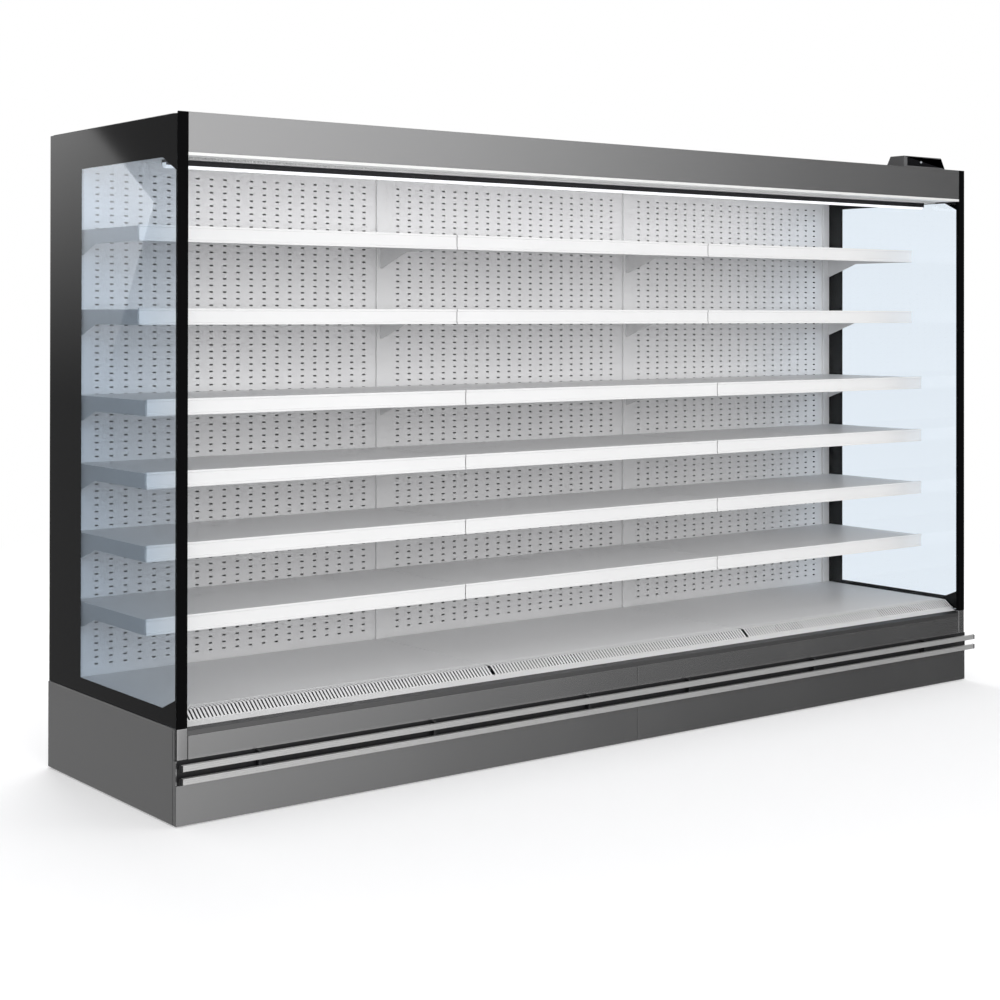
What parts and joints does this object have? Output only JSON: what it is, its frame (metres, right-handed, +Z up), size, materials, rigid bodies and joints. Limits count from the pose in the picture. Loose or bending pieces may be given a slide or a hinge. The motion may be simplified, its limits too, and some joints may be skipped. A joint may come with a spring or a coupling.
{
  "type": "open multideck display fridge",
  "caption": "Long open-front refrigerated display cabinet with glazed end walls, hook-on shelves, bumper rails and fans and a cooling coil under the deck.",
  "frame": {"origin": "on the floor, in the middle of the whole outline's length and depth", "axes": "+Z up, +X along the cabinet to the right as seen from the front, -Y out of the open front"},
  "size_m": [3.855, 1.018, 2.273],
  "materials": {
    "graphite_paint": "satin dark grey powder coat",
    "trim_paint": "lighter grey satin paint",
    "black_frame": "black satin coating",
    "end_glazing": "clear toughened glass with a printed black border",
    "foam_panel": "foam-filled panel with dark coated skins",
    "shelf_white": "white semi-gloss powder coat",
    "inner_white": "pale blue-white powder coat",
    "deck_steel": "light grey powder-coated sheet",
    "nosing_grey": "grey extruded trim with a pale top edge",
    "rail_silver": "satin anodised aluminium",
    "black_plastic": "black moulded plastic",
    "outlet_white": "white moulded honeycomb",
    "lamp_white": "opal diffuser, lit",
    "galvanised": "galvanised steel",
    "coil_fins": "aluminium fins",
    "motor_black": "black enamel",
    "fan_plastic": "black moulded fan",
    "controller_grey": "dark grey textured plastic",
    "window_black": "gloss black window"
  },
  "bodies": {
    "cabinet": {"levelling_feet": "galvanised", "base_beams": "galvanised", "base_tub": "foam_panel", "drain_outlet": "black_plastic", "base_side_covers": "graphite_paint", "front_fascia": "graphite_paint", "nosing_trim": "nosing_grey", "end_trims": "trim_paint", "bumper_backing": "black_plastic", "bumper_brackets": "black_plastic", "bumper_rails": "rail_silver", "rail_end_caps": "black_plastic", "deck_supports": "deck_steel", "rear_wall": "foam_panel", "wall_posts": "inner_white", "back_panels": "inner_white", "roof_panel": "foam_panel", "canopy_fascia": "graphite_paint", "canopy_lip": "deck_steel", "ceiling_liner": "inner_white", "air_outlet": "outlet_white", "lamp_housing": "rail_silver", "lamp_diffuser": "lamp_white", "end_glass": "end_glazing", "end_profiles": "black_frame", "fan_plates": "galvanised", "fan_guards": "black_plastic", "fan_motors": "motor_black", "evaporator_coil": "coil_fins", "controller_housing": "controller_grey", "controller_window": "window_black"},
    "fan_impeller_left": {"fan_impeller_left": "fan_plastic"},
    "fan_impeller_middle": {"fan_impeller_middle": "fan_plastic"},
    "fan_impeller_right": {"fan_impeller_right": "fan_plastic"},
    "deck_pan_left": {"deck_pan_left": "deck_steel"},
    "deck_pan_middle": {"deck_pan_middle": "deck_steel"},
    "deck_pan_right": {"deck_pan_right": "deck_steel"},
    "return_grille_left": {"return_grille_left": "deck_steel"},
    "return_grille_middle": {"return_grille_middle": "deck_steel"},
    "return_grille_right": {"return_grille_right": "deck_steel"},
    "kick_plate_left": {"kick_plate_left": "graphite_paint"},
    "kick_plate_right": {"kick_plate_right": "graphite_paint"},
    "shelf_1_left": {"shelf_1_left": "shelf_white"},
    "shelf_1_middle": {"shelf_1_middle": "shelf_white"},
    "shelf_1_right": {"shelf_1_right": "shelf_white"},
    "shelf_2_left": {"shelf_2_left": "shelf_white"},
    "shelf_2_middle": {"shelf_2_middle": "shelf_white"},
    "shelf_2_right": {"shelf_2_right": "shelf_white"},
    "shelf_3_left": {"shelf_3_left": "shelf_white"},
    "shelf_3_middle": {"shelf_3_middle": "shelf_white"},
    "shelf_3_right": {"shelf_3_right": "shelf_white"},
    "shelf_4_left": {"shelf_4_left": "shelf_white"},
    "shelf_4_middle": {"shelf_4_middle": "shelf_white"},
    "shelf_4_right": {"shelf_4_right": "shelf_white"},
    "shelf_5_left": {"shelf_5_left": "shelf_white"},
    "shelf_5_middle": {"shelf_5_middle": "shelf_white"},
    "shelf_5_right": {"shelf_5_right": "shelf_white"},
    "shelf_6_left": {"shelf_6_left": "shelf_white"},
    "shelf_6_middle": {"shelf_6_middle": "shelf_white"},
    "shelf_6_right": {"shelf_6_right": "shelf_white"}
  },
  "joints": [
    {"name": "fan_left_spin", "type": "hinge", "parent": "cabinet", "child": "fan_impeller_left", "pos_m": [-1.2785, -0.075, 0.20743], "axis": [0, -0.6157, 0.788], "continuous": true},
    {"name": "fan_middle_spin", "type": "hinge", "parent": "cabinet", "child": "fan_impeller_middle", "pos_m": [-0.0125, -0.075, 0.20743], "axis": [0, -0.6157, 0.788], "continuous": true},
    {"name": "fan_right_spin", "type": "hinge", "parent": "cabinet", "child": "fan_impeller_right", "pos_m": [1.2535, -0.075, 0.20743], "axis": [0, -0.6157, 0.788], "continuous": true},
    {"name": "deck_pan_left_lift", "type": "slide", "parent": "cabinet", "child": "deck_pan_left", "axis": [0, 0, 1], "range_m": [0, 0.1]},
    {"name": "deck_pan_middle_lift", "type": "slide", "parent": "cabinet", "child": "deck_pan_middle", "axis": [0, 0, 1], "range_m": [0, 0.1]},
    {"name": "deck_pan_right_lift", "type": "slide", "parent": "cabinet", "child": "deck_pan_right", "axis": [0, 0, 1], "range_m": [0, 0.1]},
    {"name": "return_grille_left_lift", "type": "slide", "parent": "cabinet", "child": "return_grille_left", "axis": [0, 0, 1], "range_m": [0, 0.1]},
    {"name": "return_grille_middle_lift", "type": "slide", "parent": "cabinet", "child": "return_grille_middle", "axis": [0, 0, 1], "range_m": [0, 0.1]},
    {"name": "return_grille_right_lift", "type": "slide", "parent": "cabinet", "child": "return_grille_right", "axis": [0, 0, 1], "range_m": [0, 0.1]},
    {"name": "kick_plate_left_pull", "type": "slide", "parent": "cabinet", "child": "kick_plate_left", "axis": [0, -1, 0], "range_m": [0, 0.08]},
    {"name": "kick_plate_right_pull", "type": "slide", "parent": "cabinet", "child": "kick_plate_right", "axis": [0, -1, 0], "range_m": [0, 0.08]},
    {"name": "shelf_1_left_tilt", "type": "hinge", "parent": "cabinet", "child": "shelf_1_left", "pos_m": [-1.2785, 0.304, 1.855], "axis": [-1, 0, 0], "range_deg": [0, 12]},
    {"name": "shelf_1_middle_tilt", "type": "hinge", "parent": "cabinet", "child": "shelf_1_middle", "pos_m": [-0.0125, 0.304, 1.855], "axis": [-1, 0, 0], "range_deg": [0, 12]},
    {"name": "shelf_1_right_tilt", "type": "hinge", "parent": "cabinet", "child": "shelf_1_right", "pos_m": [1.2535, 0.304, 1.855], "axis": [-1, 0, 0], "range_deg": [0, 12]},
    {"name": "shelf_2_left_tilt", "type": "hinge", "parent": "cabinet", "child": "shelf_2_left", "pos_m": [-1.2785, 0.304, 1.583], "axis": [-1, 0, 0], "range_deg": [0, 12]},
    {"name": "shelf_2_middle_tilt", "type": "hinge", "parent": "cabinet", "child": "shelf_2_middle", "pos_m": [-0.0125, 0.304, 1.583], "axis": [-1, 0, 0], "range_deg": [0, 12]},
    {"name": "shelf_2_right_tilt", "type": "hinge", "parent": "cabinet", "child": "shelf_2_right", "pos_m": [1.2535, 0.304, 1.583], "axis": [-1, 0, 0], "range_deg": [0, 12]},
    {"name": "shelf_3_left_tilt", "type": "hinge", "parent": "cabinet", "child": "shelf_3_left", "pos_m": [-1.2785, 0.304, 1.29], "axis": [-1, 0, 0], "range_deg": [0, 12]},
    {"name": "shelf_3_middle_tilt", "type": "hinge", "parent": "cabinet", "child": "shelf_3_middle", "pos_m": [-0.0125, 0.304, 1.29], "axis": [-1, 0, 0], "range_deg": [0, 12]},
    {"name": "shelf_3_right_tilt", "type": "hinge", "parent": "cabinet", "child": "shelf_3_right", "pos_m": [1.2535, 0.304, 1.29], "axis": [-1, 0, 0], "range_deg": [0, 12]},
    {"name": "shelf_4_left_tilt", "type": "hinge", "parent": "cabinet", "child": "shelf_4_left", "pos_m": [-1.2785, 0.304, 1.056], "axis": [-1, 0, 0], "range_deg": [0, 12]},
    {"name": "shelf_4_middle_tilt", "type": "hinge", "parent": "cabinet", "child": "shelf_4_middle", "pos_m": [-0.0125, 0.304, 1.056], "axis": [-1, 0, 0], "range_deg": [0, 12]},
    {"name": "shelf_4_right_tilt", "type": "hinge", "parent": "cabinet", "child": "shelf_4_right", "pos_m": [1.2535, 0.304, 1.056], "axis": [-1, 0, 0], "range_deg": [0, 12]},
    {"name": "shelf_5_left_tilt", "type": "hinge", "parent": "cabinet", "child": "shelf_5_left", "pos_m": [-1.2785, 0.304, 0.822], "axis": [-1, 0, 0], "range_deg": [0, 12]},
    {"name": "shelf_5_middle_tilt", "type": "hinge", "parent": "cabinet", "child": "shelf_5_middle", "pos_m": [-0.0125, 0.304, 0.822], "axis": [-1, 0, 0], "range_deg": [0, 12]},
    {"name": "shelf_5_right_tilt", "type": "hinge", "parent": "cabinet", "child": "shelf_5_right", "pos_m": [1.2535, 0.304, 0.822], "axis": [-1, 0, 0], "range_deg": [0, 12]},
    {"name": "shelf_6_left_tilt", "type": "hinge", "parent": "cabinet", "child": "shelf_6_left", "pos_m": [-1.2785, 0.304, 0.587], "axis": [-1, 0, 0], "range_deg": [0, 12]},
    {"name": "shelf_6_middle_tilt", "type": "hinge", "parent": "cabinet", "child": "shelf_6_middle", "pos_m": [-0.0125, 0.304, 0.587], "axis": [-1, 0, 0], "range_deg": [0, 12]},
    {"name": "shelf_6_right_tilt", "type": "hinge", "parent": "cabinet", "child": "shelf_6_right", "pos_m": [1.2535, 0.304, 0.587], "axis": [-1, 0, 0], "range_deg": [0, 12]}
  ]
}
